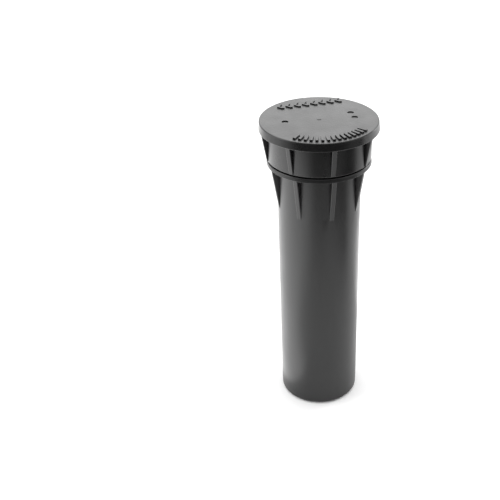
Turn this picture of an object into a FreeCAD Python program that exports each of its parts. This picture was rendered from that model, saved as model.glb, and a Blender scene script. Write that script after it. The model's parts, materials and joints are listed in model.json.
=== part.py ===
"""Pop-up sprinkler: moulded case, spring-retracted riser with an adjustable nozzle, screw-on blanking cap.

Writes one STEP file per sub-part into parts/. Millimetres, +Z up, origin at the centre of the base.
Every piece is drawn in its place with the riser down and the cap screwed home.
"""
import FreeCAD, Part
import math
import os

from FreeCAD import Vector

ORIGIN = Vector(0, 0, 0)
UP = Vector(0, 0, 1)
BEYOND = 1.0             # how far a cutting tool runs past what it cuts

# ---------------------------------------------------------------- driving dimensions

# roundings of moulded edges
SOFT = 0.5
FINE = 0.3
HAIR = 0.2

# case
TUBE_R = (20.4, 20.65)   # outside of the tube at its foot and under the collar
TUBE_EDGE = 1.8          # rounding of the bottom edge
BORE_R = 17.9            # inside of the tube
FLOOR_Z = 14.0           # inside face of the floor
COLLAR_R = (25.7, 25.4)  # at its lower and its upper face
COLLAR_Z = (136.7, 138.7)
LEDGE_Z = 140.5          # step the seal carrier rests on
NECK_R = 21.5
NECK_BORE_R = 19.4
NECK_TOP = 153.6

# inlet: the socket is modelled at its pitch radius
INLET_R = 9.9
INLET_DEPTH = 12.5
PORT_R = 8.2             # hole through the floor
SEAT_Z = 14.6            # top of the raised valve seat
SEAT_OUT = (0.3, 0.8, 1.1)        # seat's crest, crest edge and foot, out from the port
BOSS_R = 13.2
POCKET_R = 17.4          # moulded hollow round the socket
POCKET_TOP = 11.5
POCKET_WEB_T = 1.8

# gusset ribs, eight on the case and eight on the cap
RIB_COUNT = 8
RIB_T = 2.3
RIB_SOFT = 0.4           # rounding of the ribs' outer edges
CASE_RIB_PHASE = -90.0
CASE_RIB_FOOT = (114.0, 20.75)    # height and reach of the lower end
CASE_RIB_REACH = 24.5
CAP_RIB_PHASE = -92.7    # the cap comes home a little past the case ribs
CAP_RIB_REACH = (26.0, 28.5)      # at the skirt edge and under the rim
RIB_ROOT = 0.6           # depth the ribs run into their wall

# keys that stop the guide ring turning
KEY_COUNT = 4
KEY_T = 1.6
KEY_R = 16.9
KEY_TOP = 136.0
KEY_PHASE = -90.0

# cap thread, two starts
LEAD = 8.0
MALE_Z = 142.0           # height where the case ridges start
MALE_TURNS = 1.25
MALE_CREST = 22.6
FEMALE_CREST = 22.0
RIDGE_W = (2.2, 1.1)     # ridge width at its root and at its crest
THREAD_DROP = 1.6        # cap ridges run this far under the case ridges
FEMALE_START = 45.0      # degrees round from the start of a case ridge
FEMALE_TURNS = 1.0

# cap
CAP_TOP = 158.2
PLATE_UNDER = 155.0
RIM_R = (29.1, 28.6)     # the rim narrows upwards
RIM_UNDER = 154.1
SKIRT_R = 25.5
SKIRT_BORE_R = 23.3
SKIRT_Z = 139.45
PLUG_R = (17.0, 19.3)    # sleeve that presses on the seal ring
PLUG_Z = 143.45
STIFFENER_T = 1.2
STIFFENER = ((11.2, 153.0), (PLUG_R[0] + SOFT, 148.0))

# marks on the cap's face
RELIEF = 0.6             # height of the raised chevrons
BAR_RELIEF = 0.8
RELIEF_SINK = 0.4
DIMPLE_R = 1.6
DIMPLE_DEPTH = 0.45
DIMPLES = ((16.4, 175.0), (17.1, 10.0), (17.1, -10.0))    # distance out and direction
GATE_R = 1.1             # moulding point in the middle
GATE_RELIEF = 0.15
CHEVRON_COUNT = 8
CHEVRON_STEP = 4.2
CHEVRON_MIDDLE = (0.9, 19.3)
CHEVRON_STROKE = 1.9     # width of a stroke along the row
CHEVRON_LEAN = 1.2       # from the point back to the start of the ends
CHEVRON_HALF = 2.4       # from the point out to an end
BAR_COUNT = 15
BAR_SPAN = 82.0          # degrees from the first bar to the last
BAR_MIDDLE = -92.0       # direction of the middle bar
BAR_R = (21.6, 26.3)
BAR_W = 1.4

# seals, seat and spring at the top
CARRIER_Z = (LEDGE_Z, 142.2)
CARRIER_R = 19.2
CUP_R = (10.9, 11.7)
CUP_FOOT_R = 10.0
CUP_Z = (134.6, 135.6)
SNAP_R = 19.8
SNAP_Z = (141.4, 141.9)
SNAP_SPACE = 0.1         # clearance of the snap groove
SNAP_COUNT = 6
SNAP_SWEEP = 24.0
CAP_SEAL_R = 16.6
SEAL_GAP = 0.05          # space above and below the cap's seal ring
O_RING_R = 18.3
O_RING_CORD = 0.4
O_RING_SPACE = 0.05
WIPER_R = 9.55
WIPER_HEIGHT = 3.2
WIPER_WAIST = 10.05
SEAT_RING_R = (11.9, 17.6)
SEAT_RING_Z = (139.2, LEDGE_Z)
SEAT_NOTCH = (0.8, 3.0)  # depth and width
SPRING_R = 13.2
SPRING_WIRE = 0.625
SPRING_Z = (24.2, 139.2)
SPRING_TURNS = 10
SPRING_GAP = 0.1         # between the closed end coils
SPRING_END = 0.75        # turns before the coils start to open
SPRING_EASE = 0.5        # turns over which they open
SPRING_STEPS = 36        # points a turn

# riser
STEM_R = 9.5
STEM_BORE_R = 7.6
STEM_TOP = 139.2
SPOUT_BORE_R = 6.8
SPOUT_R = 8.0
SPOUT_TOP = 145.6
FLANGE_R = 15.0
FLANGE_Z = (19.0, 20.5)
SPIDER_R = 4.0
SPIDER_TOP = 22.5
SPIDER_T = 1.6
FOOT_R = (8.6, 10.4)
FOOT_SWEEP = 24.0
ARM_COUNT = 4
PLUG_STEM_R = 2.5
PLUG_HEAD = (0.6, 1.8)   # heights of the snap head's edge and tip
PLUG_BODY_R = 7.5
DISC_Z = (16.0, 17.0)    # check valve disc
DISC_R = 10.8
SEAL_Z = 14.7
SEAL_R = 10.6

# ratchet
GEAR_Z = (20.5, 22.8)
GEAR_R = (12.0, 12.5)    # tooth root and crest
GEAR_TEETH = 48
LUG_R = 10.4
LUG_T = 1.6
LUG_COUNT = 4
GUIDE_Z = (20.8, SPRING_Z[0])
GUIDE_R = (14.8, 17.8)
GUIDE_PORT_R = (15.2, 16.3)
GUIDE_PORT_SWEEP = 30.0
WEB_Z = 22.85
WEB_R = 9.6
FINGER_R = (13.3, 14.2)
FINGER_Z = (GUIDE_Z[0] + 0.1, WEB_Z - 0.4)
FINGER_SWEEP = 45.0
FINGER_ROOT = 8.0
PAWL_R = 12.65
PAWL_SWEEP = 3.0
PAWL_COUNT = 3
RUNNING = 0.05           # running clearance on a radius

# filter and nozzle
NOZZLE_R = 10.0          # under the grip ribs
GRIP_R = 10.4
GRIP_T = 0.9
GRIP_COUNT = 24
BASE_Z = (139.3, 147.0)
NOZZLE_THREAD_R = 9.0
NOZZLE_THREAD = (2.0, 2.0)        # lead and turns
NOZZLE_RIDGE_W = (1.2, 0.4)
SPOUT_CREST = 8.7
NOZZLE_CREST = 8.3
NOZZLE_NECK_R = 8.3
NOZZLE_NECK_TOP = 150.6
NOZZLE_ROOF = 1.2        # thickness of the chamber's roof
GROOVE_Z = (148.0, 148.9)
GROOVE_R = 7.55
COLLAR_RING_R = 7.95
CHAMBER_R = 6.0
PORT_COUNT = 3
PORT_SWEEP = 96.0
FILTER_FLANGE_Z = (SPOUT_TOP, 146.5)
FILTER_FLANGE_R = (2.0, 8.1)
FILTER_R = (4.9, 5.8)
FILTER_NECK_Z = 140.0
FILTER_BOTTOM = 95.0
FILTER_FOOT = 1.9        # thickness of the closed end
FILTER_BARS = 4
FILTER_BAR_T = 1.5
FILTER_HOOPS = 5
HOOP_STEP = 8.6
HOOP_T = 1.2
SCREEN_R = (5.85, 6.3)
SCREEN_TOP = 141.0
COLLAR_BORE_R = 8.4
ARC_COLLAR_Z = (147.2, 152.6)
LIP_Z = 151.4
LIP_R = 6.2
HUB_R = 4.6
HUB_FOOT_R = 2.3
DEFLECTOR_Z = (152.9, 154.3)
DEFLECTOR_R = 8.8
STREAM_COUNT = 24        # grooves that shape the streams
STREAM_T = 0.5
STOP_T = 1.2             # width of the arc stops on the hub and on the collar
SCREW_R = 1.4
SCREW_HEAD_R = 2.2
SCREW_Z = (143.5, 153.55, 154.2)  # tip, under the head, top of the head
SCREW_TAPER = (0.5, 2.5)          # tip radius and length
SCREW_SLOT = (0.6, 0.35)          # width and depth


# ---------------------------------------------------------------- helpers

def rounded(corners):
    """Closed wire in the XZ plane through (r, z) or (r, z, corner radius) points."""
    spots = [Vector(c[0], 0, c[1]) for c in corners]
    arcs = []
    for i, corner in enumerate(corners):
        here = spots[i]
        if len(corner) < 3:
            arcs.append((here, None, here))
            continue
        back = (spots[i - 1] - here).normalize()
        ahead = (spots[(i + 1) % len(spots)] - here).normalize()
        half = back.getAngle(ahead) / 2
        run = corner[2] / math.tan(half)
        inward = (back + ahead).normalize()
        middle = here + inward * (corner[2] / math.sin(half) - corner[2])
        arcs.append((here + back * run, middle, here + ahead * run))
    edges = []
    for i, (start, middle, end) in enumerate(arcs):
        if middle is not None:
            edges.append(Part.Arc(start, middle, end).toShape())
        following = arcs[(i + 1) % len(arcs)][0]
        if (following - end).Length > 1e-6:
            edges.append(Part.makeLine(end, following))
    return Part.Wire(edges)


def turned(*corners):
    """Solid of revolution about Z."""
    return Part.Face(rounded(corners)).revolve(ORIGIN, UP, 360)


def ring(inner, outer, low, high):
    return turned((inner, low), (outer, low), (outer, high), (inner, high))


def disc(radius, low, high):
    return Part.makeCylinder(radius, high - low, Vector(0, 0, low))


def fin(thickness, *corners):
    """Radial plate pointing along +X, from an outline in (r, z)."""
    plate = Part.Face(rounded(corners)).extrude(Vector(0, thickness, 0))
    return moved(plate, 0, -thickness / 2, 0)


def softened(plate, beyond, radius):
    """Rounds the long outer edges of a radial plate."""
    long_edges = [edge for edge in plate.Edges
                  if edge.Length > 5 and min(vertex.X for vertex in edge.Vertexes) > beyond]
    return plate.makeFillet(radius, long_edges)


def block(x_low, x_high, width, z_low, z_high):
    """Box from x_low to x_high, centred on the X axis."""
    return Part.makeBox(x_high - x_low, width, z_high - z_low, Vector(x_low, -width / 2, z_low))


def moved(shape, x, y, z):
    copy = shape.copy()
    copy.translate(Vector(x, y, z))
    return copy


def spun(shape, degrees):
    copy = shape.copy()
    copy.rotate(ORIGIN, UP, degrees)
    return copy


def around(shape, count, start=0.0):
    return [spun(shape, start + 360.0 * i / count) for i in range(count)]


def sector(inner, outer, low, high, start, sweep):
    """Part of a ring between two angles, in degrees."""
    section = Part.makePolygon([Vector(inner, 0, low), Vector(outer, 0, low), Vector(outer, 0, high),
                                Vector(inner, 0, high), Vector(inner, 0, low)])
    return spun(Part.Face(section).revolve(ORIGIN, UP, sweep), start)


def prism(points, low, high):
    """Upright prism from (x, y) points."""
    corners = [Vector(x, y, low) for x, y in points]
    return Part.Face(Part.makePolygon(corners + corners[:1])).extrude(Vector(0, 0, high - low))


def ridge(lead, turns, z, root, crest, widths, start=0.0, sink=0.3):
    """Helical ridge with flanks carried on below the root, so that it fuses cleanly with its wall."""
    step = math.copysign(sink, root - crest)
    slope = (widths[0] - widths[1]) / abs(crest - root)
    foot, half_foot, half_crest = root + step, (widths[0] + slope * sink) / 2, widths[1] / 2
    outline = [Vector(foot, 0, -half_foot), Vector(crest, 0, -half_crest),
               Vector(crest, 0, half_crest), Vector(foot, 0, half_foot)]
    path = Part.Wire(Part.makeHelix(lead, lead * turns, min(root, crest)).Edges)
    swept = path.makePipeShell([Part.makePolygon(outline + outline[:1])], True, True)
    return moved(spun(swept, start), 0, 0, z)


def join(base, *pieces):
    for piece in pieces:
        base = base.fuse(piece)
    return base.removeSplitter()


def carve(base, *tools):
    for tool in tools:
        base = base.cut(tool)
    return base.removeSplitter()


def save(name, shape):
    if len(shape.Solids) != 1 or not shape.isValid():
        raise ValueError("%s has %d solids, valid: %s" % (name, len(shape.Solids), shape.isValid()))
    shape.Solids[0].exportStep("parts/%s.step" % name)
    print("%-18s %9.1f mm3" % (name, shape.Volume))


# ---------------------------------------------------------------- case and cap

def make_case():
    groove_r = SNAP_R + SNAP_SPACE
    shell = turned(
        (INLET_R, 0, SOFT), (TUBE_R[0], 0, TUBE_EDGE), (TUBE_R[1], COLLAR_Z[0]),
        (COLLAR_R[0], COLLAR_Z[0], HAIR), (COLLAR_R[1], COLLAR_Z[1], SOFT), (NECK_R, COLLAR_Z[1]),
        (NECK_R, NECK_TOP, FINE), (NECK_BORE_R, NECK_TOP, FINE), (NECK_BORE_R, SNAP_Z[1] + SNAP_SPACE),
        (groove_r, SNAP_Z[1] + SNAP_SPACE), (groove_r, SNAP_Z[0] - SNAP_SPACE),
        (NECK_BORE_R, SNAP_Z[0] - SNAP_SPACE), (NECK_BORE_R, LEDGE_Z), (BORE_R, LEDGE_Z, FINE),
        (BORE_R, FLOOR_Z, SOFT), (PORT_R + SEAT_OUT[2], FLOOR_Z), (PORT_R + SEAT_OUT[1], SEAT_Z),
        (PORT_R + SEAT_OUT[0], SEAT_Z), (PORT_R, FLOOR_Z), (PORT_R, INLET_DEPTH), (INLET_R, INLET_DEPTH))
    pocket = ring(BOSS_R, POCKET_R, -BEYOND, POCKET_TOP)
    web = block(BOSS_R - BEYOND, POCKET_R + BEYOND, POCKET_WEB_T, -2 * BEYOND, POCKET_TOP + BEYOND)
    shell = carve(shell, pocket.cut(Part.makeCompound(around(web, RIB_COUNT, CASE_RIB_PHASE))))
    root, top = TUBE_R[0] - RIB_ROOT, COLLAR_Z[0] + SOFT
    gusset = fin(RIB_T, (root, CASE_RIB_FOOT[0]), CASE_RIB_FOOT[::-1], (CASE_RIB_REACH, top), (root, top))
    gusset = softened(gusset, TUBE_R[0], RIB_SOFT)
    key = block(KEY_R, BORE_R + SOFT, KEY_T, FLOOR_Z - SOFT, KEY_TOP)
    shell = join(shell, *around(gusset, RIB_COUNT, CASE_RIB_PHASE), *around(key, KEY_COUNT, KEY_PHASE))
    for start in (0.0, 180.0):
        shell = shell.fuse(ridge(LEAD, MALE_TURNS, MALE_Z, NECK_R, MALE_CREST, RIDGE_W, start))
    return shell


def chevrons():
    """Row of arrowheads that point the way the cap unscrews."""
    back = CHEVRON_LEAN + CHEVRON_STROKE
    arrow = prism([(0, 0), (CHEVRON_STROKE, CHEVRON_HALF), (back, CHEVRON_HALF), (CHEVRON_LEAN, 0),
                   (back, -CHEVRON_HALF), (CHEVRON_STROKE, -CHEVRON_HALF)],
                  CAP_TOP - RELIEF_SINK, CAP_TOP + RELIEF)
    x, y = CHEVRON_MIDDLE
    row_start = x - (CHEVRON_STEP * (CHEVRON_COUNT - 1) + back) / 2
    return [moved(arrow, row_start + CHEVRON_STEP * i, y, 0) for i in range(CHEVRON_COUNT)]


def bars():
    """Arc of plain raised bars with softened tops."""
    top = CAP_TOP + BAR_RELIEF
    bar = block(BAR_R[0], BAR_R[1], BAR_W, CAP_TOP - RELIEF_SINK, top)
    bar = bar.makeFillet(HAIR, [edge for edge in bar.Edges if edge.BoundBox.ZMin > top - RELIEF_SINK])
    first, step = BAR_MIDDLE - BAR_SPAN / 2, BAR_SPAN / (BAR_COUNT - 1)
    return [spun(bar, first + step * i) for i in range(BAR_COUNT)]


def make_cap():
    cap = turned(
        (0, CAP_TOP), (RIM_R[1], CAP_TOP, SOFT), (RIM_R[0], RIM_UNDER, FINE), (SKIRT_R, RIM_UNDER),
        (SKIRT_R, SKIRT_Z, SOFT), (SKIRT_BORE_R, SKIRT_Z, FINE), (SKIRT_BORE_R, PLATE_UNDER),
        (PLUG_R[1], PLATE_UNDER), (PLUG_R[1], PLUG_Z, SOFT), (PLUG_R[0], PLUG_Z, SOFT),
        (PLUG_R[0], PLATE_UNDER), (0, PLATE_UNDER))
    root, low, high = SKIRT_R - RIB_ROOT, SKIRT_Z + SOFT, RIM_UNDER + SOFT
    gusset = fin(RIB_T, (root, low), (CAP_RIB_REACH[0], low), (CAP_RIB_REACH[1], high), (root, high))
    gusset = softened(gusset, SKIRT_R, RIB_SOFT)
    foot, shoulder = STIFFENER
    stiffener = fin(STIFFENER_T, (foot[0], PLATE_UNDER + SOFT), foot, shoulder,
                    (shoulder[0], PLATE_UNDER + SOFT))
    cap = join(cap, *around(gusset, RIB_COUNT, CAP_RIB_PHASE), *around(stiffener, RIB_COUNT))
    dimple = disc(DIMPLE_R, CAP_TOP - DIMPLE_DEPTH, CAP_TOP + BEYOND)
    cap = carve(cap, *[spun(moved(dimple, r, 0, 0), angle) for r, angle in DIMPLES])
    gate = disc(GATE_R, CAP_TOP - RELIEF_SINK, CAP_TOP + GATE_RELIEF)
    cap = join(cap, gate, *chevrons(), *bars())
    height = MALE_Z - THREAD_DROP + LEAD * FEMALE_START / 360.0
    for start in (FEMALE_START, FEMALE_START + 180.0):
        cap = cap.fuse(ridge(LEAD, FEMALE_TURNS, height, SKIRT_BORE_R, FEMALE_CREST, RIDGE_W, start))
    return cap


def make_cap_seal():
    low, high = CARRIER_Z[1] + SEAL_GAP, PLUG_Z - SEAL_GAP
    return turned((CAP_SEAL_R, low, HAIR), (CARRIER_R, low, HAIR), (CARRIER_R, high, HAIR),
                  (CAP_SEAL_R, high, HAIR))


# ---------------------------------------------------------------- seals, seat and spring

def make_carrier():
    half, low = O_RING_CORD + O_RING_SPACE, CARRIER_Z[0]
    groove_top = low + 2 * O_RING_CORD
    carrier = turned(
        (CUP_R[0], CARRIER_Z[1], FINE), (CARRIER_R, CARRIER_Z[1], FINE), (CARRIER_R, low, HAIR),
        (O_RING_R + half, low), (O_RING_R + half, groove_top), (O_RING_R - half, groove_top),
        (O_RING_R - half, low), (CUP_R[1], low), (CUP_R[1], CUP_Z[0], FINE),
        (CUP_FOOT_R, CUP_Z[0], FINE), (CUP_FOOT_R, CUP_Z[1]), (CUP_R[0], CUP_Z[1]))
    snap = sector(CARRIER_R - SOFT, SNAP_R, SNAP_Z[0], SNAP_Z[1], 0, SNAP_SWEEP)
    return join(carrier, *around(snap, SNAP_COUNT))


def make_carrier_o_ring():
    return Part.makeTorus(O_RING_R, O_RING_CORD, Vector(0, 0, CARRIER_Z[0] + O_RING_CORD))


def make_wiper():
    """Lip seal with two wiping edges, the same one above the other."""
    low, high = CUP_Z[1], CUP_Z[1] + WIPER_HEIGHT
    edge, waist = WIPER_HEIGHT / 8, WIPER_HEIGHT * 0.4
    return turned((CUP_R[0], low), (CUP_R[0], high), (WIPER_WAIST, high), (WIPER_R, high - edge),
                  (WIPER_R, high - 2 * edge), (WIPER_WAIST, high - waist), (WIPER_WAIST, low + waist),
                  (WIPER_R, low + 2 * edge), (WIPER_R, low + edge), (WIPER_WAIST, low))


def make_spring_seat():
    low, high = SEAT_RING_Z
    seat = turned((SEAT_RING_R[0], low, HAIR), (SEAT_RING_R[1], low, HAIR), (SEAT_RING_R[1], high, HAIR),
                  (SEAT_RING_R[0], high, HAIR))
    depth, width = SEAT_NOTCH
    notch = block(SEAT_RING_R[1] - depth, SEAT_RING_R[1] + BEYOND, width, low - BEYOND, high + BEYOND)
    return carve(seat, *around(notch, KEY_COUNT, KEY_PHASE))


def spring_heights():
    """Heights of the wire's middle, one for each step of the coil, closed at both ends."""
    low, high = SPRING_Z[0] + SPRING_WIRE, SPRING_Z[1] - SPRING_WIRE
    closed_rise = (2 * SPRING_WIRE + SPRING_GAP) / SPRING_STEPS
    opening = []
    for i in range(SPRING_STEPS * SPRING_TURNS):
        turn = (i + 0.5) / SPRING_STEPS
        share = (min(turn, SPRING_TURNS - turn) - SPRING_END) / SPRING_EASE
        share = min(1.0, max(0.0, share))
        opening.append(share ** 2 * (3 - 2 * share))
    open_rise = (high - low - closed_rise * len(opening)) / sum(opening)
    heights = [low]
    for share in opening:
        heights.append(heights[-1] + closed_rise + open_rise * share)
    return heights


def make_spring():
    points = []
    for i, height in enumerate(spring_heights()):
        angle = 2 * math.pi * i / SPRING_STEPS
        points.append(Vector(SPRING_R * math.cos(angle), SPRING_R * math.sin(angle), height))
    curve = Part.BSplineCurve()
    curve.interpolate(points)
    path = Part.Wire(curve.toShape())
    wire = Part.Wire(Part.makeCircle(SPRING_WIRE, points[0], curve.tangent(0.0)[0]))
    return path.makePipeShell([wire], True, True)


# ---------------------------------------------------------------- riser and ratchet

def make_riser():
    under, flange_top = FLANGE_Z
    stem = turned(
        (STEM_BORE_R, under), (FLANGE_R, under, FINE), (FLANGE_R, flange_top, FINE),
        (STEM_R, flange_top), (STEM_R, STEM_TOP, FINE), (SPOUT_R, STEM_TOP), (SPOUT_R, SPOUT_TOP, FINE),
        (SPOUT_BORE_R, SPOUT_TOP, FINE), (SPOUT_BORE_R, STEM_TOP - 2), (STEM_BORE_R, STEM_TOP - 3))
    hub = disc(SPIDER_R, under, SPIDER_TOP)
    arm = block(BEYOND, STEM_BORE_R + SOFT, SPIDER_T, under, SPIDER_TOP)
    foot = sector(FOOT_R[0], FOOT_R[1], DISC_Z[1], under + FINE, -FOOT_SWEEP / 2, FOOT_SWEEP)
    lug = block(STEM_R - SOFT, LUG_R, LUG_T, flange_top - FINE, GEAR_Z[1])
    riser = join(stem, hub, *around(arm, ARM_COUNT, 45), *around(foot, ARM_COUNT, 45),
                 *around(lug, LUG_COUNT))
    riser = carve(riser, disc(PLUG_STEM_R + RUNNING, under - BEYOND, SPIDER_TOP + BEYOND))
    return riser.fuse(ridge(*NOZZLE_THREAD, STEM_TOP + 1.4, SPOUT_R, SPOUT_CREST, NOZZLE_RIDGE_W))


def make_valve_plug():
    """Valve disc with a stem that snaps into the riser's spider."""
    body_low, head = SEAL_Z + HAIR, SPIDER_TOP + RUNNING
    return turned(
        (0, body_low), (PLUG_BODY_R, body_low, FINE), (PLUG_BODY_R, DISC_Z[0]), (DISC_R, DISC_Z[0], HAIR),
        (DISC_R, DISC_Z[1], FINE), (PLUG_STEM_R, DISC_Z[1]), (PLUG_STEM_R, head),
        (PLUG_STEM_R + SOFT, head), (PLUG_STEM_R + SOFT, SPIDER_TOP + PLUG_HEAD[0]),
        (PLUG_STEM_R - SOFT, SPIDER_TOP + PLUG_HEAD[1]), (0, SPIDER_TOP + PLUG_HEAD[1]))


def make_valve_seal():
    return turned((PLUG_BODY_R, SEAL_Z, HAIR), (SEAL_R, SEAL_Z, HAIR), (SEAL_R, DISC_Z[0]),
                  (PLUG_BODY_R, DISC_Z[0]))


def make_gear():
    """Toothed ratchet ring, keyed to the riser by four lugs."""
    outline = []
    for i in range(GEAR_TEETH):
        for share, radius in ((0.0, GEAR_R[0]), (0.5, GEAR_R[1])):
            angle = 2 * math.pi * (i + share) / GEAR_TEETH
            outline.append((radius * math.cos(angle), radius * math.sin(angle)))
    low, high = GEAR_Z[0] - BEYOND, GEAR_Z[1] + BEYOND
    slot = block(STEM_R - BEYOND, LUG_R + RUNNING, LUG_T + 2 * RUNNING, low, high)
    return carve(prism(outline, *GEAR_Z), disc(STEM_R + RUNNING, low, high), *around(slot, LUG_COUNT))


def make_guide():
    """Keyed ring on top of the riser flange, with three sprung pawls beside the ratchet teeth."""
    low, high = GUIDE_Z
    body = turned((WEB_R, WEB_Z), (GUIDE_R[0], WEB_Z), (GUIDE_R[0], low), (GUIDE_R[1], low, FINE),
                  (GUIDE_R[1], high, FINE), (WEB_R, high))
    finger = sector(*FINGER_R, *FINGER_Z, 0, FINGER_SWEEP)
    root = sector(FINGER_R[0], GUIDE_R[0] + SOFT, *FINGER_Z, 0, FINGER_ROOT)
    pawl = sector(PAWL_R, FINGER_R[1], *FINGER_Z, FINGER_SWEEP - PAWL_SWEEP, PAWL_SWEEP)
    body = join(body, *around(join(finger, root, pawl), PAWL_COUNT, 15))
    notch = block(KEY_R - 2 * RUNNING, GUIDE_R[1] + BEYOND, KEY_T + 4 * RUNNING, low - BEYOND, high + BEYOND)
    port = sector(*GUIDE_PORT_R, low - BEYOND, high + BEYOND, 0, GUIDE_PORT_SWEEP)
    return carve(body, *around(notch, KEY_COUNT, KEY_PHASE), *around(port, KEY_COUNT, 20))


# ---------------------------------------------------------------- filter and nozzle

def make_filter():
    """Basket of bars and hoops hung from a flange that sits on the riser's spout."""
    low, (inner, outer), (under, top) = FILTER_BOTTOM, FILTER_R, FILTER_FLANGE_Z
    basket = turned(
        (FILTER_FLANGE_R[0], under), (inner, under), (inner, FILTER_NECK_Z), (outer, FILTER_NECK_Z),
        (outer, under), (FILTER_FLANGE_R[1], under, HAIR), (FILTER_FLANGE_R[1], top),
        (FILTER_FLANGE_R[0], top))
    bar = block(inner + 0.1, outer - 0.1, FILTER_BAR_T, low + BEYOND, FILTER_NECK_Z + SOFT)
    hoops = [ring(inner, outer, z, z + HOOP_T)
             for z in (low + 2 * BEYOND + HOOP_STEP * i for i in range(FILTER_HOOPS))]
    foot = turned((0, low), (SCREEN_R[1], low, SOFT), (SCREEN_R[1], low + FILTER_FOOT),
                  (0, low + FILTER_FOOT))
    return join(basket, foot, *around(bar, FILTER_BARS), *hoops)


def make_screen():
    """Sleeve of woven mesh over the basket, drawn as a plain thin wall."""
    return ring(SCREEN_R[0], SCREEN_R[1], FILTER_BOTTOM + FILTER_FOOT + RUNNING, SCREEN_TOP)


def grip(low, high):
    """Fine finger ribs round a nozzle part."""
    return around(block(NOZZLE_R - SOFT, GRIP_R, GRIP_T, low, high), GRIP_COUNT)


def make_nozzle_base():
    low, shoulder, top = BASE_Z[0], BASE_Z[1], NOZZLE_NECK_TOP
    ceiling, hole = top - NOZZLE_ROOF, HUB_FOOT_R + RUNNING
    base = turned(
        (NOZZLE_THREAD_R, low), (NOZZLE_R, low, FINE), (NOZZLE_R, shoulder, FINE),
        (NOZZLE_NECK_R, shoulder), (NOZZLE_NECK_R, GROOVE_Z[0]), (GROOVE_R, GROOVE_Z[0]),
        (GROOVE_R, GROOVE_Z[1]), (NOZZLE_NECK_R, GROOVE_Z[1]), (NOZZLE_NECK_R, top, HAIR), (hole, top),
        (hole, ceiling), (CHAMBER_R, ceiling), (CHAMBER_R, FILTER_FLANGE_Z[1]),
        (NOZZLE_THREAD_R, FILTER_FLANGE_Z[1]))
    port = sector(HUB_R, CHAMBER_R, ceiling - BEYOND, top + BEYOND, 0, PORT_SWEEP)
    base = join(carve(base, *around(port, PORT_COUNT, 12)), *grip(low + 0.8, shoulder - 0.6))
    thread = ridge(*NOZZLE_THREAD, STEM_TOP + 1.15, NOZZLE_THREAD_R, NOZZLE_CREST, NOZZLE_RIDGE_W, 110)
    return base.fuse(thread)


def make_collar_o_ring():
    return Part.makeTorus(COLLAR_RING_R, O_RING_CORD, Vector(0, 0, sum(GROOVE_Z) / 2))


def make_arc_collar():
    """Grip collar that opens the watering arc; its inner tooth meets the fixed stop on the hub."""
    low, high = ARC_COLLAR_Z
    collar = turned(
        (COLLAR_BORE_R, low, HAIR), (NOZZLE_R, low, FINE), (NOZZLE_R, high, SOFT), (LIP_R, high, HAIR),
        (LIP_R, LIP_Z), (COLLAR_BORE_R, LIP_Z))
    tooth = spun(block(HUB_R + 3 * RUNNING, LIP_R + SOFT, STOP_T, LIP_Z, high - HAIR), -90)
    return join(collar, tooth, *grip(low + 0.4, high - 1.0))


def make_deflector():
    under, top = DEFLECTOR_Z
    foot, bore, seat = NOZZLE_NECK_TOP - NOZZLE_ROOF, SCREW_R + 2 * RUNNING, SCREW_Z[1] - RUNNING
    deflector = turned(
        (bore, foot), (HUB_FOOT_R, foot), (HUB_FOOT_R, NOZZLE_NECK_TOP), (HUB_R, NOZZLE_NECK_TOP),
        (HUB_R, under - 0.4), (HUB_R + 1.2, under), (DEFLECTOR_R, under), (DEFLECTOR_R, top, 0.4),
        (SCREW_HEAD_R + FINE, top), (SCREW_HEAD_R + FINE, seat), (bore, seat))
    stop = spun(block(HUB_R - SOFT, LIP_R - 3 * RUNNING, STOP_T, LIP_Z, under + HAIR), 90)
    groove = block(HUB_R + 1.8, DEFLECTOR_R + BEYOND, STREAM_T, under - BEYOND, under + SOFT)
    pointer = spun(prism([(5.0, 0), (7.6, 1.1), (7.6, -1.1)], top - 0.4, top + BEYOND), 90)
    return carve(join(deflector, stop), *around(groove, STREAM_COUNT, 7.5), pointer)


def make_screw():
    tip, under, top = SCREW_Z
    screw = turned((0, tip), (SCREW_TAPER[0], tip), (SCREW_R, tip + SCREW_TAPER[1]), (SCREW_R, under),
                   (SCREW_HEAD_R, under), (SCREW_HEAD_R, top, HAIR), (0, top))
    width, depth = SCREW_SLOT
    reach = SCREW_HEAD_R + BEYOND
    return carve(screw, block(-reach, reach, width, top - depth, top + BEYOND))


PIECES = {
    "case": make_case,
    "blanking_cap": make_cap,
    "cap_seal_ring": make_cap_seal,
    "seal_carrier": make_carrier,
    "carrier_o_ring": make_carrier_o_ring,
    "wiper_lip": make_wiper,
    "upper_spring_seat": make_spring_seat,
    "retraction_spring": make_spring,
    "guide_ring": make_guide,
    "riser_stem": make_riser,
    "ratchet_gear": make_gear,
    "check_valve_plug": make_valve_plug,
    "check_valve_seal": make_valve_seal,
    "filter_basket": make_filter,
    "filter_screen": make_screen,
    "nozzle_base": make_nozzle_base,
    "collar_o_ring": make_collar_o_ring,
    "arc_collar": make_arc_collar,
    "deflector": make_deflector,
    "radius_screw": make_screw,
}

os.makedirs("parts", exist_ok=True)
for piece_name, make in PIECES.items():
    save(piece_name, make())
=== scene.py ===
"""Looks for the pop-up sprinkler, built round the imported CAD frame."""

import json
import math

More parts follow.
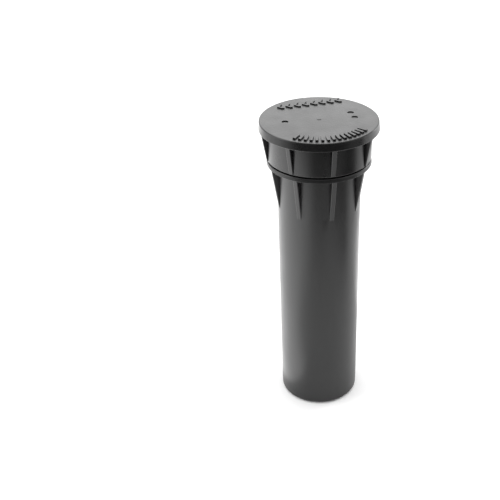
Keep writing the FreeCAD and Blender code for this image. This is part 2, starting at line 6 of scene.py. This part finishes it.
import bmesh
import bpy
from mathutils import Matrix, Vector


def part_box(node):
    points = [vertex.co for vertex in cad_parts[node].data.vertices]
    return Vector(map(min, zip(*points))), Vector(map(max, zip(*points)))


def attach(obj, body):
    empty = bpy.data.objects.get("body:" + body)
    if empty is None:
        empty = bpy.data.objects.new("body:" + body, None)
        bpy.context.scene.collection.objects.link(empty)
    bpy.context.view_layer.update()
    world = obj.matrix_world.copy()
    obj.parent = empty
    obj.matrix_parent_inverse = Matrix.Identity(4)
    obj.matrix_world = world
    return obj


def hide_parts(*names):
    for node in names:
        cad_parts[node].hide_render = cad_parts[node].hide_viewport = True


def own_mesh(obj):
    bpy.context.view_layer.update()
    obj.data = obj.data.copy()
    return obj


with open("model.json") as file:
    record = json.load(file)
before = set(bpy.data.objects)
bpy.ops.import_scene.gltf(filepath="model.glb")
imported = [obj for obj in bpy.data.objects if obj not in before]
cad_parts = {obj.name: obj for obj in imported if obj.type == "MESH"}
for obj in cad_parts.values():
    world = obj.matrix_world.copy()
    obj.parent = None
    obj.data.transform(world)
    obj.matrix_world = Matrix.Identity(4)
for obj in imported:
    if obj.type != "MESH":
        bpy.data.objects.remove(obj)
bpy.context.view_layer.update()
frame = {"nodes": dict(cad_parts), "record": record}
nodes = frame["nodes"]
scene = bpy.context.scene

CAMERA_AZIMUTH = -17.5      # degrees round from looking along +Y
CAMERA_OUT = 0.3889         # metres from the tube's axis
CAMERA_UP = 0.3209          # metres above the floor
CAMERA_DOWN = 31.17         # degrees below level
LENS = 63.4
SENSOR = 36.0
SHIFT_X = -0.1381           # the object stands right of the middle of the frame

AZ = math.radians(CAMERA_AZIMUTH)
AWAY = Vector((-math.sin(AZ), math.cos(AZ), 0))      # level, from the camera towards the object
RIGHT = Vector((math.cos(AZ), math.sin(AZ), 0))      # level, to the camera's right


def place(right, away, up):
    """Point given by distances along the camera's right, away from it, and up."""
    return RIGHT * right + AWAY * away + Vector((0, 0, up))


# ---------------------------------------------------------------- node helpers

class Nodes:
    """A few short calls for building a material's node tree."""

    def __init__(self, name):
        self.material = bpy.data.materials.new(name)
        self.material.use_nodes = True
        self.tree = self.material.node_tree
        self.shader = self.tree.nodes["Principled BSDF"]

    def add(self, kind, inputs=None, **settings):
        node = self.tree.nodes.new(kind)
        for key, value in settings.items():
            setattr(node, key, value)
        for key, value in (inputs or {}).items():
            if isinstance(value, bpy.types.NodeSocket):
                self.tree.links.new(value, node.inputs[key])
            else:
                node.inputs[key].default_value = value
        return node

    def coordinates(self):
        return self.add("ShaderNodeTexCoord").outputs["Object"]

    def noise(self, scale, detail=3.0, rough=0.5, where=None, stretch=None):
        where = where or self.coordinates()
        if stretch:
            where = self.add("ShaderNodeMapping", {"Vector": where, "Scale": stretch}).outputs["Vector"]
        node = self.add("ShaderNodeTexNoise", {"Vector": where, "Scale": scale, "Detail": detail,
                                               "Roughness": rough})
        return node.outputs["Fac"]

    def spread(self, fac, low, high, from_low=0.3, from_high=0.7):
        node = self.add("ShaderNodeMapRange", {"Value": fac, "From Min": from_low, "From Max": from_high,
                                               "To Min": low, "To Max": high})
        return node.outputs["Result"]

    def colours(self, fac, *stops):
        ramp = self.add("ShaderNodeValToRGB", {"Fac": fac})
        elements = ramp.color_ramp.elements
        while len(elements) < len(stops):
            elements.new(0.5)
        for element, (position, colour) in zip(elements, stops):
            element.position = position
            element.color = (*colour, 1)
        return ramp.outputs["Color"]

    def bump(self, height, strength, distance, under=None):
        node = self.add("ShaderNodeBump", {"Height": height, "Strength": strength, "Distance": distance})
        if under:
            self.tree.links.new(under, node.inputs["Normal"])
        return node.outputs["Normal"]

    def drive(self, **sockets):
        """Sets or links the shader's sockets; underscores stand for spaces."""
        for key, value in sockets.items():
            socket = self.shader.inputs[key.replace("_", " ")]
            if isinstance(value, bpy.types.NodeSocket):
                self.tree.links.new(value, socket)
            else:
                socket.default_value = value
        return self.material


# ---------------------------------------------------------------- materials
# Noise scales are in features a metre, bump distances in metres.

NOISE_LOW, NOISE_HIGH = 0.3, 0.7      # where a noise's lighter and darker patches settle
SUM_LOW, SUM_HIGH = 0.7, 1.3          # the same for two noises added together
FLOW = (1, 1, 0.12)                   # draws streaks out along the height, as the melt flowed
PLASTIC_IOR = 1.5


def grey(level, tint=0.0):
    return (level, level, level * (1 + tint))


def plastic(name, base, rough, grain=0.12, mottling=0.25, tint=grey(1.0, 0.02)):
    """Moulded plastic: slight mottling, flow-streaked gloss and a fine grain."""
    n = Nodes(name)
    where = n.coordinates()
    low = tuple(base * (1 - mottling) * c for c in tint)
    high = tuple(base * (1 + mottling) * c for c in tint)
    cloud = n.noise(45.0, 4.0, 0.6, where)
    streak = n.noise(120.0, 3.0, 0.5, where, stretch=FLOW)
    gloss = n.add("ShaderNodeMath", {0: cloud, 1: streak}, operation="ADD").outputs[0]
    fine = n.noise(900.0, 2.0, 0.5, where)
    ripple = n.bump(n.noise(70.0, 2.0, 0.5, where), 0.10, 0.0004)
    return n.drive(
        Base_Color=n.colours(cloud, (NOISE_LOW, low), (NOISE_HIGH, high)),
        Roughness=n.spread(gloss, rough - 0.04, rough + 0.06, SUM_LOW, SUM_HIGH),
        Normal=n.bump(fine, grain, 0.00012, ripple),
        IOR=PLASTIC_IOR)


def cap_plastic():
    """Black plastic whose level faces carry a pebbled mould texture and whose sides are smoother."""
    level_from, level_full = 0.75, 0.98      # how far a face points up to count as level
    side_rough, level_rougher = (0.25, 0.33), 0.10
    n = Nodes("cap_black")
    where = n.coordinates()
    facing = n.add("ShaderNodeSeparateXYZ", {"Vector": n.add("ShaderNodeNewGeometry").outputs["Normal"]})
    level = n.spread(facing.outputs["Z"], 0.0, 1.0, level_from, level_full)
    cells = n.add("ShaderNodeTexVoronoi", {"Vector": where, "Scale": 1500.0, "Randomness": 1.0},
                  feature="SMOOTH_F1").outputs["Distance"]
    fine = n.noise(2200.0, 2.0, 0.5, where)
    pebbles = n.add("ShaderNodeMath", {0: cells, 1: level}, operation="MULTIPLY").outputs[0]
    cloud = n.noise(38.0, 4.0, 0.6, where)
    streak = n.noise(110.0, 3.0, 0.5, where, stretch=FLOW)
    gloss = n.add("ShaderNodeMath", {0: cloud, 1: streak}, operation="ADD").outputs[0]
    side = n.spread(gloss, *side_rough, SUM_LOW, SUM_HIGH)
    rough = n.add("ShaderNodeMath", {0: level, 1: level_rougher, 2: side},
                  operation="MULTIPLY_ADD").outputs[0]
    return n.drive(
        Base_Color=n.colours(cloud, (NOISE_LOW, grey(0.002, 0.02)), (NOISE_HIGH, grey(0.004, 0.02))),
        Roughness=rough,
        Normal=n.bump(pebbles, 0.35, 0.00015, n.bump(fine, 0.10, 0.00008)),
        IOR=PLASTIC_IOR)


def rubber(name):
    """Dull black seal rubber with a dusty bloom."""
    n = Nodes(name)
    where = n.coordinates()
    cloud = n.noise(200.0, 4.0, 0.6, where)
    return n.drive(
        Base_Color=n.colours(cloud, (NOISE_LOW, grey(0.012)), (0.75, grey(0.03))),
        Roughness=n.spread(cloud, 0.55, 0.75),
        Normal=n.bump(n.noise(1500.0, 2.0, 0.5, where), 0.2, 0.0001))


def steel(name):
    """Stainless steel with fine drawing marks."""
    n = Nodes(name)
    where = n.coordinates()
    draw = n.noise(900.0, 3.0, 0.6, where, stretch=(1, 1, 0.2))
    return n.drive(
        Base_Color=n.colours(draw, (NOISE_LOW, (0.45, 0.45, 0.44)), (NOISE_HIGH, (0.62, 0.61, 0.59))),
        Roughness=n.spread(draw, 0.22, 0.38),
        Normal=n.bump(draw, 0.08, 0.00005),
        Metallic=1.0)


MATERIALS = {       # for each plastic, how much light it reflects and how rough it is
    "case_plastic": plastic("case_black", 0.006, 0.34),
    "cap_plastic": cap_plastic(),
    "riser_plastic": plastic("riser_black", 0.012, 0.30),
    "ring_plastic": plastic("acetal_grey", 0.50, 0.38, mottling=0.05),
    "ratchet_plastic": plastic("dark_grey", 0.11, 0.36, mottling=0.1),
    "seal_rubber": rubber("seal_black"),
    "filter_plastic": plastic("filter_grey", 0.32, 0.4, mottling=0.06),
    "nozzle_plastic": plastic("nozzle_black", 0.012, 0.40, grain=0.06),
    "collar_plastic": plastic("collar_green", 0.30, 0.3, grain=0.06, mottling=0.08, tint=(0.10, 0.42, 0.19)),
    "stainless": steel("stainless_steel"),
}

for part in frame["record"]["subparts"]:
    mesh = nodes[part["node"]].data
    mesh.materials.clear()
    mesh.materials.append(MATERIALS[part["material_slot"]])


# ---------------------------------------------------------------- pieces the CAD leaves plain

def new_piece(name, build, slot, body):
    """Makes a piece from a function that fills its mesh, with a slot's finish, riding on a body."""
    mesh = bpy.data.meshes.new(name)
    shape = bmesh.new()
    build(shape)
    bmesh.ops.recalc_face_normals(shape, faces=shape.faces)
    shape.to_mesh(mesh)
    shape.free()
    for face in mesh.polygons:
        face.use_smooth = True
    piece = bpy.data.objects.new(name, mesh)
    scene.collection.objects.link(piece)
    mesh.materials.append(MATERIALS[slot])
    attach(piece, body)
    return piece


def sweep(shape, rings, closed=False):
    """Skins a row of rings of points; the ends are capped, or joined if the row is closed."""
    rows = [[shape.verts.new(p) for p in ring] for ring in rings]
    count = len(rows[0])
    nexts = rows[1:] + rows[:1] if closed else rows[1:]
    for here, there in zip(rows, nexts):
        for i in range(count):
            shape.faces.new((here[i], here[(i + 1) % count], there[(i + 1) % count], there[i]))
    if not closed:
        shape.faces.new(rows[0][::-1])
        shape.faces.new(rows[-1])


def spring_shape(shape):
    """The retraction spring: one closed coil at each end, round wire."""
    low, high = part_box("retraction_spring")
    wire, gap = 0.000625, 0.0001      # wire's radius, space between the closed coils
    radius = high.x - wire
    turns, per_turn, around = 10, 40, 12
    end_turns, ease = 0.75, 0.5       # turns before the coils start to open, and to be fully open
    steps = turns * per_turn
    open_share = []
    for i in range(steps + 1):
        turn = i / per_turn
        t = min(1.0, max(0.0, min(turn, turns - turn) - end_turns) / ease)
        open_share.append(t * t * (3 - 2 * t))
    bottom, top = low.z + wire, high.z - wire
    closed = 2 * wire + gap
    climb = (top - bottom - closed * turns) / sum(open_share[:-1])
    z, rings = bottom, []
    for i in range(steps + 1):
        a = 2 * math.pi * i / per_turn
        out = Vector((math.cos(a), math.sin(a), 0))
        rings.append([out * (radius + wire * math.cos(2 * math.pi * k / around))
                      + Vector((0, 0, z + wire * math.sin(2 * math.pi * k / around)))
                      for k in range(around)])
        z += closed / per_turn + climb * open_share[i]
    sweep(shape, rings)


def inlet_thread_shape(shape):
    """Female pipe thread inside the inlet socket, fading out at both ends."""
    wall, crest, pitch = 0.00992, 0.00925, 0.001814
    root_half, crest_half = pitch * 0.47, pitch * 0.06
    start, turns, per_turn = 0.0016, 5.2, 72
    fade_turns, least = 0.5, 0.04     # turns over which it reaches full height, and its first share of it
    steps = int(turns * per_turn)
    rings = []
    for i in range(steps + 1):
        a = 2 * math.pi * i / per_turn
        fade = min(1.0, i / per_turn / fade_turns, (steps - i) / per_turn / fade_turns)
        inner = wall - (wall - crest) * max(least, fade)
        z = start + pitch * i / per_turn
        out = Vector((math.cos(a), math.sin(a), 0))
        corners = ((wall, -root_half), (wall, root_half), (inner, crest_half), (inner, -crest_half))
        rings.append([out * radius + Vector((0, 0, z + rise)) for radius, rise in corners])
    sweep(shape, rings)


def filter_mesh_shape(shape):
    """Woven sleeve of the filter: upright and round wires that pass over and under each other,
    moulded into a plain band at each end."""
    low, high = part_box("filter_screen")
    thickness, band = 0.00045, 0.0014
    outer, inner = high.x, high.x - thickness
    middle = (outer + inner) / 2
    wire, weave = 0.0001, 0.00011     # wire's radius, and how far it swings in and out
    count = 28                        # upright wires, and spaces between the round ones
    bottom, top = low.z + band, high.z - band
    step = (top - bottom) / count

    def ring_about(centre, across, up):
        return [centre + across * wire, centre + up * wire, centre - across * wire, centre - up * wire]

    for i in range(count):
        a = 2 * math.pi * i / count
        out = Vector((math.cos(a), math.sin(a), 0))
        side = Vector((-math.sin(a), math.cos(a), 0))
        rings = []
        for k in range(2 * count + 3):
            z = bottom + step * (k - 1) / 2
            swing = weave * math.cos(math.pi * (k - 1) / 2 + math.pi * i)
            rings.append(ring_about(out * (middle + swing) + Vector((0, 0, z)), out, side))
        sweep(shape, rings)
    for j in range(1, count):
        rings = []
        for k in range(3 * count):
            a = 2 * math.pi * k / (3 * count)
            out = Vector((math.cos(a), math.sin(a), 0))
            swing = -weave * math.cos(math.pi * k / 3 + math.pi * j)
            rings.append(ring_about(out * (middle + swing) + Vector((0, 0, bottom + step * j)), out,
                                    Vector((0, 0, 1))))
        sweep(shape, rings, closed=True)
    for under, over in ((low.z, low.z + band), (high.z - band, high.z)):
        rings = []
        for k in range(2 * count):
            a = 2 * math.pi * k / (2 * count)
            out = Vector((math.cos(a), math.sin(a), 0))
            rings.append([out * inner + Vector((0, 0, under)), out * outer + Vector((0, 0, under)),
                          out * outer + Vector((0, 0, over)), out * inner + Vector((0, 0, over))])
        sweep(shape, rings, closed=True)


spring = new_piece("spring_coils", spring_shape, "stainless", "case")
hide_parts("retraction_spring")
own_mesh(spring)
new_piece("inlet_thread", inlet_thread_shape, "case_plastic", "case")
sleeve = new_piece("filter_mesh", filter_mesh_shape, "filter_plastic", "riser")
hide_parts("filter_screen")


# ---------------------------------------------------------------- floor, light and camera

FLOOR_SIZE = 12.0
FLOOR_Z = -0.0002                     # just under the part, so that the two faces never meet
MIDDLE = Vector((0, 0, 0.08))         # what the lamps face


def stage_card(name, centre, towards, width, height):
    """Flat rectangle that faces a point."""
    bpy.ops.mesh.primitive_plane_add(size=1, location=centre)
    card = bpy.context.object
    card.name = name
    card.scale = (width, height, 1)
    card.rotation_euler = (Vector(towards) - Vector(centre)).to_track_quat("Z", "Y").to_euler()
    return card


def glossy_only(card):
    """Seen in reflections alone, as a studio flag or reflector out of the picture."""
    card.visible_camera = False
    card.visible_diffuse = False
    card.visible_shadow = False
    card.visible_transmission = False
    card.visible_volume_scatter = False


def flat_emitter(name, level):
    """Material of one even brightness, where 1 is as bright as the white surroundings."""
    material = bpy.data.materials.new(name)
    material.use_nodes = True
    tree = material.node_tree
    tree.nodes.clear()
    glow = tree.nodes.new("ShaderNodeEmission")
    glow.inputs["Strength"].default_value = level
    out = tree.nodes.new("ShaderNodeOutputMaterial")
    tree.links.new(glow.outputs["Emission"], out.inputs["Surface"])
    return material


def reflector(name, centre, towards, width, height, level):
    """Card that faces a point and is seen only in reflections; at level 0 it is a black flag."""
    card = stage_card(name, centre, towards, width, height)
    card.data.materials.append(flat_emitter(name, level))
    glossy_only(card)


floor_nodes = Nodes("studio_floor")
paper = floor_nodes.noise(6.0, 3.0, 0.5)
floor_material = floor_nodes.drive(
    Base_Color=floor_nodes.colours(paper, (NOISE_LOW, grey(0.90)), (NOISE_HIGH, grey(0.92))),
    Roughness=0.9, Specular_IOR_Level=0.1)
floor = stage_card("floor", (0, 0, FLOOR_Z), (0, 0, 1), FLOOR_SIZE, FLOOR_SIZE)
floor.data.materials.append(floor_material)

world = bpy.data.worlds.new("studio")
scene.world = world
world.use_nodes = True
surroundings = world.node_tree.nodes["Background"]
surroundings.inputs["Color"].default_value = (1, 1, 1, 1)
surroundings.inputs["Strength"].default_value = 1.0


def softbox(name, centre, towards, width, height, power):
    """Rectangular lamp that faces a point; power in watts."""
    light = bpy.data.lights.new(name, "AREA")
    light.shape = "RECTANGLE"
    light.size, light.size_y = width, height
    light.energy = power
    lamp = bpy.data.objects.new(name, light)
    scene.collection.objects.link(lamp)
    lamp.location = centre
    lamp.rotation_euler = (Vector(towards) - Vector(centre)).to_track_quat("-Z", "Y").to_euler()
    lamp.visible_camera = False


softbox("key_left", place(-0.9, -0.1, 0.55), MIDDLE, 0.7, 0.9, 5.0)
softbox("top", place(0.0, 0.25, 1.1), MIDDLE, 1.0, 1.0, 6.0)
softbox("rim_right", place(0.7, 0.45, 0.35), MIDDLE, 0.25, 0.6, 2.5)
reflector("back_reflector", place(0.0, 0.95, 0.72), place(0, 0, 0.158), 1.3, 0.75, 3.3)


def floor_card(name, right, away, level, height=0.0015):
    """Level card just over the floor, between two distances to the right and two away; seen only in
    reflections."""
    centre = place(sum(right) / 2, sum(away) / 2, height)
    card = stage_card(name, centre, centre + Vector((0, 0, 1)), right[1] - right[0], away[1] - away[0])
    card.rotation_euler = (0, 0, AZ)
    card.data.materials.append(flat_emitter(name, level))
    glossy_only(card)


floor_card("glow_left", (-0.42, -0.0255), (-0.045, 0.55), 2.7)
floor_card("glow_front_left", (-0.42, -0.085), (-0.27, -0.045), 2.7, height=0.003)
floor_card("glow_right", (0.04, 0.135), (0.065, 0.50), 2.8)
floor_card("flag_right", (0.155, 0.90), (-0.20, -0.03), 0.0)
floor_card("near_flag", (-0.8, 0.9), (-0.30, -0.20), 0.6)
floor_card("far_flag", (-0.8, 0.9), (-0.95, -0.30), 0.0)
reflector("dark_wall", place(0, -0.96, 0.36), place(0, 0, 0.15), 2.4, 0.7, 0.0)

camera_data = bpy.data.cameras.new("camera")
camera_data.lens = LENS
camera_data.sensor_width = SENSOR
camera_data.shift_x = SHIFT_X
camera = bpy.data.objects.new("camera", camera_data)
scene.collection.objects.link(camera)
camera.location = place(0, -CAMERA_OUT, CAMERA_UP)
camera.rotation_euler = (math.radians(90 - CAMERA_DOWN), 0, AZ)
scene.camera = camera
scene.view_settings.view_transform = "Standard"
